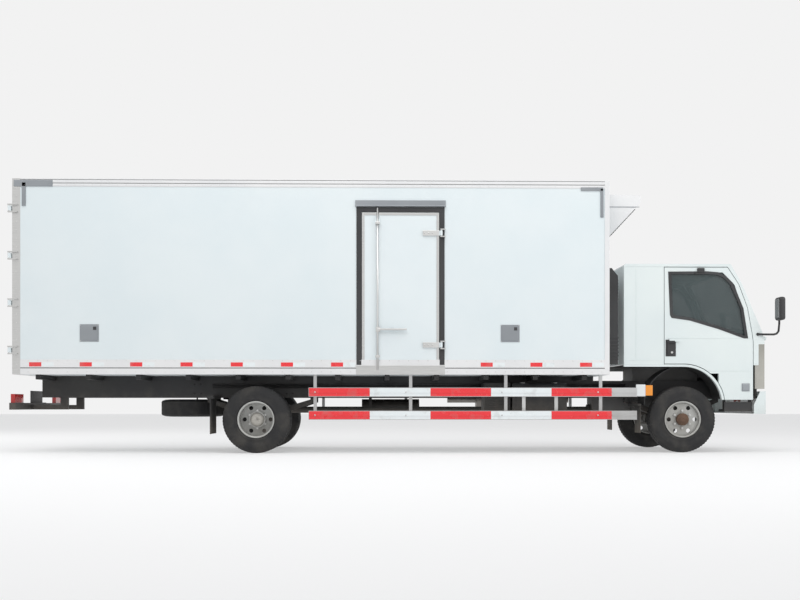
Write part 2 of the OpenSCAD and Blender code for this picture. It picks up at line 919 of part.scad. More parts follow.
module steering_wheel() {
    color("#222325") cab_place()
        translate([560, 500, 860])
            rotate([0, 130, 0]) {
                rotate_extrude($fn = 72)
                    translate([205, 0])
                        circle(r = 16, $fn = 20);
                translate([0, 0, -12])
                    cylinder(r = 60, h = 40, $fn = 48);
                for (a = [0, 120, 240])
                    rotate([0, 0, a])
                        block([40, -15, -6], [204, 15, 6]);
                cylinder(r = 28, h = 132.7);
            }
}

// A seat: a cushion on its base and a backrest behind it.
module seat(side) {
    y0 = side > 0 ? seat_y[0] : -seat_y[1];
    y1 = side > 0 ? seat_y[1] : -seat_y[0];
    color("#5a5f66") cab_place() {
        block([-580, y0, seat_z + 180 + seat_gap], [-80, y1, seat_z + 310]);
        block([-700, y0, seat_z + 180 + seat_gap], [-580 - seat_gap, y1, seat_z + 900]);
    }
}

module driver_seat() {
    seat(1);
}

module passenger_seat() {
    seat(-1);
}

module mirrors() {
    color("#17181a") cab_place()
        both() {
            block([930, cab_y, 780], [960, cab_y + 60, 810]);
            block([930, cab_y + 40, 780], [1180, cab_y + 60, 810]);
            block([1150, cab_y + 40, 780], [1170, cab_y + 60, 1250]);
            block([1135, cab_y + 55, 790], [1210, cab_y + 245, 1250]);
        }
}

module arch_flanges() {
    color("#eceeed") cab_place()
        both()
            difference() {
                union() {
                    rod_y(0, arch_z, arch_r + 29, cab_y - 60, cab_y - 2);
                    block([-760, cab_y - 60, floor_z - 30], [0, cab_y - 2, floor_z - seat_gap]);
                }
                rod_y(0, arch_z, arch_r, cab_y - 61, cab_y);
                block([-800, cab_y - 61, -700], [0, cab_y, floor_z - 30]);
                block([-10, cab_y - 61, -700], [700, cab_y, -31]);
            }
}

module arch_liners() {
    color("#1c1d1f") cab_place()
        both() {
            difference() {
                rod_y(0, arch_z, arch_r + 8, kingpin_y - 120, cab_y - 60);
                rod_y(0, arch_z, arch_r, kingpin_y - 121, cab_y);
                block([-700, 0, -700], [0, cab_y, arch_z]);
                block([-1, 0, -700], [700, cab_y, -5]);
            }
            block([-30, kingpin_y - 120, floor_z - 31], [30, cab_y - 60, floor_z - seat_gap]);
        }
}

module cab_steps() {
    color("#232425") cab_place()
        both() {
            block([riser_x, cab_y - 260, -180], [868, cab_y - 20, -150]);
            for (x = [riser_x, 840])
                block([x, cab_y - 100, -180], [x + 28, cab_y - 60, -10]);
            block([riser_x, cab_y - 45, -180], [868, cab_y - 20, -60]);
        }
}

ladder_frame();
runners();
front_axle();
rear_axle();
leaf_springs();
engine_block();
gearbox();
prop_shaft();
fuel_tank();
battery_box();
air_tanks();
exhaust();
spare_wheel();
side_guards();
underrun_bar();
rear_lamps();
plate_bracket();
mud_flaps();
front_bumper();
front_tow_eye();
box_floor();
box_roof();
box_front_wall();
box_left_wall();
box_right_wall();
rear_frame();
box_hinges();
fridge_unit();
air_intake();
cab_shell();
front_panel();
cab_floor();
windscreen();
rear_window();
dashboard();
steering_wheel();
driver_seat();
passenger_seat();
mirrors();
headlamps();
arch_flanges();
arch_liners();
cab_steps();
cab_door_left();
door_glass_left();
cab_door_right();
door_glass_right();
knuckle_left();
knuckle_right();
front_rim_left();
front_tyre_left();
front_rim_right();
front_tyre_right();
rear_rims_left();
rear_tyres_left();
rear_rims_right();
rear_tyres_right();
side_door();
rear_door_left();
rear_door_right();
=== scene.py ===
import math

import bmesh
import bpy
from mathutils import Matrix, Vector


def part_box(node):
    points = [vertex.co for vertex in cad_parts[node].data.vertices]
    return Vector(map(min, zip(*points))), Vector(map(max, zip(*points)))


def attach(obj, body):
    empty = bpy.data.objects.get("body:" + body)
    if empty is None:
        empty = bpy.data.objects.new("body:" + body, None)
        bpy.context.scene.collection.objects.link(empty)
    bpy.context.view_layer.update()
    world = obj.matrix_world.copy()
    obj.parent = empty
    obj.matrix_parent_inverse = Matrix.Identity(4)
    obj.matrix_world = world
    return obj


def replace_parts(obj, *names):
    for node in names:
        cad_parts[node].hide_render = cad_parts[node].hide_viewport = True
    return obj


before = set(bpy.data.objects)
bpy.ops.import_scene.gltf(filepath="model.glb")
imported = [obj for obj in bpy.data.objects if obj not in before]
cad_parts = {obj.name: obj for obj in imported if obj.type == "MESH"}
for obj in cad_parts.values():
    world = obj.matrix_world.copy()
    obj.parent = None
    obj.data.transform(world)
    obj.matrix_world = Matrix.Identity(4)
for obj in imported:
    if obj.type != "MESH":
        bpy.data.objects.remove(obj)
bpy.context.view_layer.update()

# ---- Camera and light ----
# A level camera stands low beside the truck's right side, a little nearer to the rear, with soft plain light
# over a pale floor.
near_side = -1.175
distance = 14.0
turn = math.radians(1.2)
aim_x = 0.026
eye_z = 0.6
centre_z = 1.907
view_w = 9.94

camera_data = bpy.data.cameras.new("camera")
camera_data.sensor_width = 36.0
camera_data.lens = 36.0 * distance / view_w
camera_data.shift_y = (centre_z - eye_z) / view_w
camera = bpy.data.objects.new("camera", camera_data)
bpy.context.scene.collection.objects.link(camera)
camera.location = (aim_x - distance * math.sin(turn), near_side - distance * math.cos(turn), eye_z)
camera.rotation_euler = (math.radians(90), 0, -turn)
bpy.context.scene.camera = camera
bpy.context.scene.view_settings.view_transform = "Standard"


def area_light(name, place, aim, size, power):
    data = bpy.data.lights.new(name, "AREA")
    data.size = size
    data.energy = power
    lamp = bpy.data.objects.new(name, data)
    lamp.location = place
    lamp.rotation_euler = (Vector(aim) - Vector(place)).to_track_quat("-Z", "Y").to_euler()
    bpy.context.scene.collection.objects.link(lamp)


area_light("soft_top", (-2, -6, 11), (0, 0, 1), 9, 640)
area_light("soft_front", (10, -7, 6), (2, 0, 1), 6, 320)
area_light("soft_rear", (-11, 5, 7), (-2, 0, 1), 6, 290)
world = bpy.data.worlds.new("plain")
world.use_nodes = True
lit = world.node_tree.nodes["Background"]
lit.inputs["Color"].default_value = (0.94, 0.95, 0.97, 1)
lit.inputs["Strength"].default_value = 0.6
shown = world.node_tree.nodes.new("ShaderNodeBackground")
shown.inputs["Color"].default_value = (0.888, 0.888, 0.888, 1)
rays = world.node_tree.nodes.new("ShaderNodeLightPath")
either = world.node_tree.nodes.new("ShaderNodeMath")
either.operation = "MAXIMUM"
any_view = world.node_tree.nodes.new("ShaderNodeMath")
any_view.operation = "MAXIMUM"
choose = world.node_tree.nodes.new("ShaderNodeMixShader")
join = world.node_tree.links.new
join(rays.outputs["Is Camera Ray"], either.inputs[0])
join(rays.outputs["Is Glossy Ray"], either.inputs[1])
join(either.outputs[0], any_view.inputs[0])
join(rays.outputs["Is Transmission Ray"], any_view.inputs[1])
join(any_view.outputs[0], choose.inputs["Fac"])
join(lit.outputs[0], choose.inputs[1])
join(shown.outputs[0], choose.inputs[2])
join(choose.outputs[0], world.node_tree.nodes["World Output"].inputs["Surface"])
bpy.context.scene.world = world


# ---- Rivets and screws ----
# Domed steel rivets and screw heads stand in rows. One node tree sets a head at each point of a row of points.
# The rows are realized and kept as plain meshes.
def head_tree():
    """Geometry nodes that put one small ball on each point."""
    tree = bpy.data.node_groups.new("rivet_heads", "GeometryNodeTree")
    tree.interface.new_socket("Points", in_out="INPUT", socket_type="NodeSocketGeometry")
    radius = tree.interface.new_socket("Radius", in_out="INPUT", socket_type="NodeSocketFloat")
    finish = tree.interface.new_socket("Finish", in_out="INPUT", socket_type="NodeSocketMaterial")
    tree.interface.new_socket("Geometry", in_out="OUTPUT", socket_type="NodeSocketGeometry")
    add = tree.nodes.new
    start, ball = add("NodeGroupInput"), add("GeometryNodeMeshIcoSphere")
    ball.inputs["Subdivisions"].default_value = 2
    spread, solid = add("GeometryNodeInstanceOnPoints"), add("GeometryNodeRealizeInstances")
    paint, end = add("GeometryNodeSetMaterial"), add("NodeGroupOutput")
    join = tree.links.new
    join(start.outputs["Points"], spread.inputs["Points"])
    join(start.outputs["Radius"], ball.inputs["Radius"])
    join(ball.outputs["Mesh"], spread.inputs["Instance"])
    join(spread.outputs["Instances"], solid.inputs["Geometry"])
    join(solid.outputs["Geometry"], paint.inputs["Geometry"])
    join(start.outputs["Finish"], paint.inputs["Material"])
    join(paint.outputs["Geometry"], end.inputs["Geometry"])
    return tree, radius.identifier, finish.identifier


head_nodes, radius_key, finish_key = head_tree()


def rivets(name, points, radius, material, body):
    """A plain mesh of domed heads, one on each point."""
    seed = bpy.data.meshes.new(name + "_seed")
    seed.from_pydata([tuple(p) for p in points], [], [])
    holder = bpy.data.objects.new(name + "_seed", seed)
    bpy.context.scene.collection.objects.link(holder)
    modifier = holder.modifiers.new("heads", "NODES")
    modifier.node_group = head_nodes
    modifier[radius_key] = radius
    modifier[finish_key] = material
    graph = bpy.context.evaluated_depsgraph_get()
    mesh = bpy.data.meshes.new_from_object(holder.evaluated_get(graph))
    bpy.data.objects.remove(holder)
    for face in mesh.polygons:
        face.use_smooth = True
    return add_mesh(name, mesh, material, body)


def along(start, end, count):
    """Evenly spaced points from start to end."""
    start, end = Vector(start), Vector(end)
    return [start.lerp(end, i / (count - 1)) for i in range(count)]


# ---- Frame and running gear ----
# Black chassis steel under road dust: rails, runners, axles, springs and shafts. The engine and gearbox are
# bare castings with oil film.

# Materials are written as expressions: Value wraps a socket and its operators add Math nodes, and Finish holds
# one material with its shader and helpers for noise, masks and bump.
class Value:
    def __init__(self, owner, socket):
        self.owner = owner
        self.socket = socket

    def math(self, operation, other=None, flip=False):
        terms = [other, self] if flip else [self, other]
        return self.owner.node("ShaderNodeMath", {"operation": operation}, {i: t for i, t in enumerate(terms)
                                                                          if t is not None})

    def __add__(self, other):
        return self.math("ADD", other)

    __radd__ = __add__

    def __mul__(self, other):
        return self.math("MULTIPLY", other)

    __rmul__ = __mul__

    def __sub__(self, other):
        return self.math("SUBTRACT", other)

    def __rsub__(self, other):
        return self.math("SUBTRACT", other, flip=True)

    def __gt__(self, other):
        return self.math("GREATER_THAN", other)


class Finish:
    def __init__(self, name):
        self.material = bpy.data.materials.new(name)
        self.material.use_nodes = True
        self.tree = self.material.node_tree
        self.shader = self.tree.nodes["Principled BSDF"]
        self.place = self.node("ShaderNodeTexCoord", {}, {}, "Object")

    def node(self, kind, settings, values, out=0):
        made = self.tree.nodes.new(kind)
        for key, value in settings.items():
            setattr(made, key, value)
        for key, value in values.items():
            if isinstance(value, Value):
                self.tree.links.new(value.socket, made.inputs[key])
            else:
                made.inputs[key].default_value = value
        return Value(self, made.outputs[out])

    def axis(self, letter):
        return self.node("ShaderNodeSeparateXYZ", {}, {0: self.place}, letter)

    def noise(self, scale, detail=4.0, stretch=(1, 1, 1)):
        spot = self.node("ShaderNodeMapping", {}, {"Vector": self.place, "Scale": stretch})
        return self.node("ShaderNodeTexNoise", {}, {"Vector": spot, "Scale": scale, "Detail": detail}, "Fac")

    def step(self, value, low, high):
        return self.node("ShaderNodeMapRange", {"interpolation_type": "SMOOTHSTEP"},
                         {"Value": value, "From Min": low, "From Max": high})

    def mix(self, factor, first, second):
        made = self.tree.nodes.new("ShaderNodeMix")
        made.data_type = "RGBA"
        self.tree.links.new(factor.socket, made.inputs["Factor"])
        for socket, colour in ((made.inputs[6], first), (made.inputs[7], second)):
            if isinstance(colour, Value):
                self.tree.links.new(colour.socket, socket)
            else:
                socket.default_value = (*colour, 1)
        return Value(self, made.outputs[2])

    def feed(self, socket, value):
        if isinstance(value, Value):
            self.tree.links.new(value.socket, self.shader.inputs[socket])
        else:
            self.shader.inputs[socket].default_value = value

    def bump(self, height, strength, depth):
        self.feed("Normal", self.node("ShaderNodeBump", {}, {"Height": height, "Strength": strength,
                                                               "Distance": depth}, "Normal"))


def painted(name, colour, worn, rough, metal=0.0, coat=0.0, dirt=0.5, dirt_top=0.9, grain=60.0, depth=0.0004):
    """Paint with broad tone changes, fine orange peel and road dirt that fades out above dirt_top."""
    finish = Finish(name)
    broad = finish.noise(1.3, 3)
    fine = finish.noise(grain, 3)
    low = 1 - finish.step(finish.axis("Z"), 0.15, dirt_top)
    grime = finish.step(low * 0.75 + finish.noise(7, 6) * 0.5, 0.45, 1.1) * dirt
    base = finish.mix(finish.step(broad, 0.3, 0.7), colour, worn)
    finish.feed("Base Color", finish.mix(grime, base, (0.2, 0.175, 0.145)))
    finish.feed("Roughness", rough + fine * 0.1 + grime * 0.35)
    finish.feed("Metallic", metal)
    finish.feed("Coat Weight", coat)
    finish.bump(fine + grime * 2, 0.25, depth)
    return finish.material


def dress(material, *nodes):
    """Puts a finish on CAD pieces."""
    for name in nodes:
        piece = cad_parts[name]
        piece.data.materials.clear()
        piece.data.materials.append(material)


def add_mesh(name, mesh, material, body):
    """Links a finished mesh as a piece that rides on a body."""
    piece = bpy.data.objects.new(name, mesh)
    bpy.context.scene.collection.objects.link(piece)
    if material is not None:
        mesh.materials.clear()
        mesh.materials.append(material)
    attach(piece, body)
    return piece


def kept(form, name, material, body):
    """Turns a bmesh into a piece."""
    mesh = bpy.data.meshes.new(name)
    form.to_mesh(mesh)
    form.free()
    return add_mesh(name, mesh, material, body)


def blocks(name, boxes, material, body, edge=0.003):
    """One mesh of many bevelled blocks, each given by its low and high corners."""
    form = bmesh.new()
    for low, high in boxes:
        middle = [(a + b) / 2 for a, b in zip(low, high)]
        size = [abs(b - a) for a, b in zip(low, high)]
        made = bmesh.ops.create_cube(form, size=1.0)["verts"]
        bmesh.ops.scale(form, vec=size, verts=made)
        bmesh.ops.translate(form, vec=middle, verts=made)
        width = min(edge, min(size) * 0.35)
        edges = list({e for v in made for e in v.link_edges})
        bmesh.ops.bevel(form, geom=edges, offset=width, segments=2, affect="EDGES", profile=0.6)
    return kept(form, name, material, body)


def rods(name, lines, material, body, sides=20):
    """One mesh of capped round bars: each line is a start, an end and a radius."""
    form = bmesh.new()
    for start, end, radius in lines:
        start, end = Vector(start), Vector(end)
        turn_to = (end - start).to_track_quat("Z", "Y").to_matrix().to_4x4()
        bmesh.ops.create_cone(form, cap_ends=True, segments=sides, radius1=radius, radius2=radius,
                              depth=(end - start).length,
                              matrix=Matrix.Translation((start + end) / 2) @ turn_to)
    for face in form.faces:
        face.smooth = len(face.verts) == 4
    return kept(form, name, material, body)


black_steel = painted("black_steel", (0.018, 0.018, 0.02), (0.03, 0.029, 0.028), 0.42, 0.1, dirt=0.55,
                      dirt_top=1.2, grain=40)
casting = painted("casting", (0.17, 0.17, 0.17), (0.1, 0.095, 0.09), 0.5, 0.6, dirt=0.6, grain=120, depth=0.001)
dress(black_steel, "ladder_frame", "runners", "front_axle", "rear_axle", "leaf_springs", "prop_shaft",
      "fuel_tank", "battery_box", "air_tanks", "underrun_bar", "plate_bracket")
dress(casting, "engine_block", "gearbox", "knuckle_left", "knuckle_right")
exhaust_steel = painted("exhaust_steel", (0.33, 0.31, 0.29), (0.2, 0.16, 0.13), 0.4, 0.8, dirt=0.5, grain=90)
dress(exhaust_steel, "exhaust")
worn_red = painted("towing_eye_paint", (0.3, 0.06, 0.04), (0.16, 0.07, 0.05), 0.5, 0.3, dirt=0.5)
dress(worn_red, "front_tow_eye")
bright = painted("bright_steel", (0.72, 0.72, 0.71), (0.6, 0.6, 0.59), 0.28, 0.9, dirt=0.3, grain=160)

tank_low, tank_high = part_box("fuel_tank")
tank_front = tank_low[1]
straps = []
for x in (tank_low[0] + 0.12, tank_high[0] - 0.16):
    straps.append(((x, tank_front - 0.006, tank_low[2] + 0.06), (x + 0.045, tank_front, tank_high[2] - 0.06)))
    straps.append(((x, tank_front + 0.06, tank_high[2]), (x + 0.045, tank_high[1] - 0.12, tank_high[2] + 0.005)))
blocks("tank_straps", straps, bright, "chassis", 0.002)
cap = Vector(((tank_low[0] + tank_high[0]) / 2, tank_front, tank_high[2] - 0.1))
rods("tank_cap", [(cap, cap + Vector((0, -0.03, 0)), 0.045), (cap, cap + Vector((0, -0.045, 0)), 0.025)],
     black_steel, "chassis", 28)
battery_low, battery_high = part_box("battery_box")
ribs = [((battery_low[0] + 0.03, battery_low[1] - 0.008, battery_low[2] + 0.05 + 0.05 * i),
         (battery_high[0] - 0.03, battery_low[1], battery_low[2] + 0.07 + 0.05 * i)) for i in range(6)]
blocks("battery_ribs", ribs, black_steel, "chassis", 0.003)
rail_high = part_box("ladder_frame")[1]
rail_y = 0.425
bolts = []
for side in (-1, 1):
    for x in (-2.6, -2.0, -1.4, -0.7, 0.3, 1.1, 1.9, 2.6, 3.2):
        for z in (rail_high[2] - 0.05, rail_high[2] - 0.17):
            bolts += [(x - 0.04, side * rail_y, z), (x + 0.04, side * rail_y, z)]
rivets("frame_bolts", bolts, 0.012, black_steel, "chassis")
pipes = [((-2.4, side * 0.44, 0.83 + 0.02 * k), (3.0, side * 0.44, 0.83 + 0.02 * k), 0.008)
         for side in (-1, 1) for k in range(3)]
rods("frame_pipes", pipes, black_steel, "chassis", 8)

# ---- Wheels ----
# Grooved truck tyres on pressed steel rims in dull silver paint, held by studs and nuts round the hub. The
# front hubs are rusty, the rear ones are pale.
rubber = Finish("tyre_rubber")
dust = rubber.step(rubber.noise(5, 6), 0.4, 0.75)
rubber.feed("Base Color", rubber.mix(dust, (0.016, 0.016, 0.017), (0.045, 0.042, 0.038)))
rubber.feed("Roughness", 0.68 + rubber.noise(90, 2) * 0.2)
rubber.bump(rubber.noise(160, 3), 0.3, 0.0006)
rim_paint = painted("rim_paint", (0.56, 0.57, 0.56), (0.42, 0.42, 0.4), 0.36, 0.45, dirt=0.35, dirt_top=1.3,
                    grain=80)
rust = painted("rusty_hub", (0.2, 0.1, 0.055), (0.1, 0.055, 0.035), 0.7, 0.2, dirt=0.2, grain=110, depth=0.001)
pale_hub = painted("pale_hub", (0.62, 0.6, 0.55), (0.48, 0.46, 0.42), 0.45, 0.3, dirt=0.25)
dress(rubber.material, "spare_wheel")
dress(rim_paint, "front_rim_left", "front_rim_right", "rear_rims_left", "rear_rims_right")


def spun(form, outline, centre, steps):
    """Adds a closed ring to a bmesh: outline holds (radius, y) points, turned about an axis along Y."""
    rings = []
    for i in range(steps):
        angle = 2 * math.pi * i / steps
        rings.append([form.verts.new((centre[0] + r * math.cos(angle), centre[1] + y,
                                      centre[2] + r * math.sin(angle))) for r, y in outline])
    count = len(outline)
    for i in range(steps):
        here, there = rings[i], rings[(i + 1) % steps]
        for k in range(count):
            face = form.faces.new((here[k], here[(k + 1) % count], there[(k + 1) % count], there[k]))
            face.smooth = True
    return rings


tyre_r = 0.42
tyre_half = 0.115
bead_r = 0.2225
tread_blocks = 64


def tyre_outline():
    """The section of a tyre: bulged sides with two raised rings, and a tread with four grooves."""
    side = [(bead_r, -0.089), (bead_r + 0.012, -0.1), (0.25, -0.108), (0.262, -0.111), (0.266, -0.108),
            (0.3, -0.1145), (0.335, -0.1145), (0.355, -0.1125), (0.36, -0.1095), (0.385, -0.105), (0.403, -0.0975)]
    tread = [(tyre_r - 0.001, -0.086)]
    for y in (-0.052, -0.018, 0.018, 0.052):
        tread += [(tyre_r, y - 0.006), (tyre_r - 0.011, y - 0.004), (tyre_r - 0.011, y + 0.004), (tyre_r, y + 0.006)]
    tread.append((tyre_r - 0.001, 0.086))
    return side + tread + [(r, -y) for r, y in reversed(side)]


def tyres(name, centres, node, body):
    """Tyres at the given centres in one mesh, with notches cut across the tread's shoulders."""
    form = bmesh.new()
    for centre in centres:
        rings = spun(form, tyre_outline(), centre, tread_blocks * 2)
        for i, ring in enumerate(rings):
            if i % 2:
                continue
            for vert in ring:
                off = Vector((vert.co.x - centre[0], 0, vert.co.z - centre[2]))
                if off.length > 0.4 and abs(vert.co.y - centre[1]) > 0.055:
                    vert.co -= off.normalized() * 0.007
    bmesh.ops.recalc_face_normals(form, faces=form.faces)
    for face in form.faces:
        off = face.calc_center_median() - Vector(centres[0])
        face.smooth = (off.x ** 2 + off.z ** 2) ** 0.5 < 0.39
    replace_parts(kept(form, name, rubber.material, body), node)


for side, word in ((-1, "right"), (1, "left")):
    low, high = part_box("front_tyre_" + word)
    front = [(low[i] + high[i]) / 2 for i in range(3)]
    tyres("front_tread_" + word, [front], "front_tyre_" + word, "front_wheel_" + word)
    low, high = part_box("rear_tyres_" + word)
    rear_x, rear_z = (low[0] + high[0]) / 2, (low[2] + high[2]) / 2
    outer_y = side * (max(abs(low[1]), abs(high[1])) - tyre_half)
    inner_y = side * (min(abs(low[1]), abs(high[1])) + tyre_half)
    tyres("rear_treads_" + word, [(rear_x, outer_y, rear_z), (rear_x, inner_y, rear_z)], "rear_tyres_" + word,
          "rear_wheels_" + word)
    for end, (x, z, face_y, body, hub, hub_out) in {
            "front": (front[0], front[2], side * 0.937, "front_wheel_" + word, rust, 0.05),
            "rear": (rear_x, rear_z, side * 0.868, "rear_wheels_" + word, pale_hub, 0.06)}.items():
        nuts = []
        for i in range(6):
            angle = math.radians(60 * i + 30)
            spot = Vector((x + 0.11 * math.cos(angle), face_y, z + 0.11 * math.sin(angle)))
            nuts.append((spot, spot + Vector((0, side * 0.022, 0)), 0.0165))
            nuts.append((spot, spot + Vector((0, side * 0.036, 0)), 0.009))
        rods(end + "_nuts_" + word, nuts, bright, body, 6)
        form = bmesh.new()
        out = abs(face_y) + hub_out
        lip = 0.98 if end == "front" else 1.089
        spun(form, [(0.086, abs(face_y) - 0.004), (0.088, out), (0.082, out + 0.012), (0.06, out + 0.02),
                    (0.001, out + 0.021), (0.001, abs(face_y) - 0.004)] if end == "rear" else
             [(0.0765, abs(face_y) - 0.004), (0.078, out), (0.07, out + 0.014), (0.045, out + 0.02),
              (0.04, out + 0.03), (0.001, out + 0.032), (0.001, abs(face_y) - 0.004)], (x, 0, z), 40)
        for vert in form.verts:
            vert.co.y *= side
        bmesh.ops.recalc_face_normals(form, faces=form.faces)
        kept(form, end + "_hub_cap_" + word, hub, body)
        form = bmesh.new()
        spun(form, [(0.211, lip - 0.025), (0.214, lip - 0.004), (0.228, lip + 0.002), (0.231, lip + 0.006),
                    (0.229, lip + 0.01), (0.212, lip + 0.004), (0.206, lip - 0.02)], (x, 0, z), 64)
        for vert in form.verts:
            vert.co.y *= side
        bmesh.ops.recalc_face_normals(form, faces=form.faces)
        kept(form, end + "_rim_lip_" + word, rim_paint, body)

# ---- Insulated box ----
# Foam panels with pale blue-white glass fibre skins, edged by white roof rails with two dark lines, stainless
# corner posts and a bottom rail with a riveted band. Screws and rivets hold the trims.
panel = painted("box_panel", (0.745, 0.805, 0.82), (0.715, 0.785, 0.805), 0.34, 0.0, coat=0.15, dirt=0.22,
                dirt_top=1.7, grain=14, depth=0.0008)
white_rail = painted("white_rail", (0.79, 0.79, 0.79), (0.74, 0.745, 0.75), 0.32, 0.0, coat=0.2, dirt=0.3,
                     dirt_top=1.5)
door_white = painted("door_skin", (0.76, 0.82, 0.835), (0.725, 0.79, 0.81), 0.3, 0.0, coat=0.2, dirt=0.25,
                     dirt_top=1.6, grain=20)
seal_black = painted("seal_rubber", (0.03, 0.03, 0.032), (0.05, 0.05, 0.052), 0.6, dirt=0.2)
grey_metal = painted("grey_metal", (0.34, 0.36, 0.38), (0.28, 0.3, 0.32), 0.35, 0.7, dirt=0.3)
stainless = Finish("stainless")
streak = stainless.noise(6, 5, (1, 1, 24))
stainless.feed("Base Color", stainless.mix(streak, (0.5, 0.5, 0.49), (0.72, 0.72, 0.71)))
stainless.feed("Roughness", 0.22 + streak * 0.2)
stainless.feed("Metallic", 0.95)
stainless.bump(stainless.noise(40, 3, (1, 1, 30)), 0.1, 0.0004)
dress(panel, "box_floor", "box_front_wall", "box_left_wall", "box_right_wall")
dress(white_rail, "box_roof")
dress(door_white, "side_door", "rear_door_left", "rear_door_right")
dress(stainless.material, "rear_frame", "box_hinges")

box_low, box_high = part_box("box_floor")
x0, x1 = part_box("rear_frame")[0][0], box_high[0]
side_y = box_high[1]
floor_z, load_z = box_low[2], box_high[2]
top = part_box("box_roof")[1][2]
rear_axle = -1.77
way_x0, way_x1 = rear_axle + 1.31, rear_axle + 2.295
way_z0, way_z1 = load_z, load_z + 1.905

for side, word in ((-1, "right"), (1, "left")):
    def plate(low_x, high_x, low_z, high_z, rise, side=side):
        return ((low_x, side * side_y, low_z), (high_x, side * (side_y + rise), high_z))
    blocks("roof_rail_" + word, [plate(x0 + 0.1, x1, top - 0.1, top, 0.004), plate(x0 + 0.1, x1, top - 0.092,
           top - 0.066, 0.007), plate(x0 + 0.1, x1, top - 0.05, top - 0.022, 0.007)], white_rail, "chassis",
           0.002)
    blocks("roof_lines_" + word, [plate(x0 + 0.1, x1, z, z + 0.005, 0.0055) for z in (top - 0.06, top - 0.016)],
           seal_black, "chassis", 0.0005)
    blocks("bottom_rail_" + word, [plate(x0 + 0.1, x1, floor_z + 0.085, load_z + 0.065, 0.006),
           plate(x0 + 0.1, x1, floor_z, floor_z + 0.075, 0.009)], white_rail, "chassis", 0.002)
    # Painted shade: the groove between the upper band and the flange is a black strip that stands in for the shade
    # in the recess.
    blocks("rail_groove_painted_shade_" + word, [plate(x0 + 0.1, x1, floor_z + 0.076, floor_z + 0.084, 0.003)], seal_black,
           "chassis", 0.0005)
    blocks("front_post_" + word, [plate(x1 - 0.06, x1, floor_z, top, 0.008)], white_rail, "chassis",
           0.003)
    blocks("corner_trims_" + word, [plate(x0 + 0.02, x0 + 0.5, top - 0.1, top - 0.02, 0.0095),
           plate(x0 + 0.12, x0 + 0.17, top - 0.34, top - 0.05, 0.0095),
           plate(x1 - 0.36, x1 - 0.08, top - 0.13, top - 0.085, 0.0095),
           plate(x1 - 0.115, x1 - 0.075, top - 0.46, top - 0.1, 0.0095)], grey_metal, "chassis", 0.003)
    blocks("post_foot_" + word, [plate(x0 + 0.002, x0 + 0.1, floor_z, floor_z + 0.06, 0.008)], stainless.material,
           "chassis", 0.003)
    spots = along((x0 + 0.05, side * side_y, floor_z + 0.12), (x0 + 0.05, side * side_y, top - 0.12), 22)
    spots += along((x0 + 0.2, side * (side_y + 0.009), floor_z + 0.035), (x1 - 0.1, side * (side_y + 0.009),
                                                                        floor_z + 0.035), 60)
    spots += along((x0 + 0.2, side * (side_y + 0.006), load_z + 0.052), (x1 - 0.1, side * (side_y + 0.006),
                                                                       load_z + 0.052), 60)
    spots += along((x0 + 0.15, side * (side_y + 0.004), top - 0.079), (x1 - 0.05, side * (side_y + 0.004),
                                                                     top - 0.079), 70)
    rivets("box_rivets_" + word, spots, 0.006, bright, "chassis")

# ---- Reflective tape ----
# Pieces of red and silver prismatic tape stuck along the bottom rail and in long stretches on the side guards.
def tape(name, colour, other):
    """Prismatic tape: fine diamond cells over a strong colour."""
    finish = Finish(name)
    cells = finish.node("ShaderNodeTexVoronoi", {"feature": "F1"}, {"Vector": finish.place, "Scale": 150.0},
                        "Distance")
    wear = finish.step(finish.noise(9, 5), 0.5, 0.72)
    finish.feed("Base Color", finish.mix(wear * 0.22, finish.mix(cells, colour, other), (0.3, 0.28, 0.25)))
    finish.feed("Roughness", 0.25 + wear * 0.3)
    finish.feed("Coat Weight", 0.3)
    finish.bump(cells, 0.15, 0.0004)
    return finish.material


red_tape = tape("red_tape", (0.8, 0.022, 0.03), (0.86, 0.04, 0.05))
silver_tape = tape("silver_tape", (0.77, 0.83, 0.85), (0.84, 0.87, 0.87))
pitch = 0.62
piece_l = 0.15
for side, word in ((-1, "right"), (1, "left")):
    y = side * (side_y + 0.006)
    reds, silvers = [], []
    count = int((x1 - x0 - 0.5) / pitch) + 1
    for i in range(count):
        x = x0 + 0.21 + i * pitch
        if side < 0 and way_x0 - 0.25 < x < way_x1 + 0.05:
            continue
        reds.append(((x, y, load_z - 0.022), (x + piece_l, y + side * 0.001, load_z + 0.03)))
        silvers.append(((x + piece_l, y, load_z - 0.022), (x + 2 * piece_l, y + side * 0.001, load_z + 0.03)))
    blocks("tape_red_" + word, reds, red_tape, "chassis", 0.0003)
    blocks("tape_silver_" + word, silvers, silver_tape, "chassis", 0.0003)

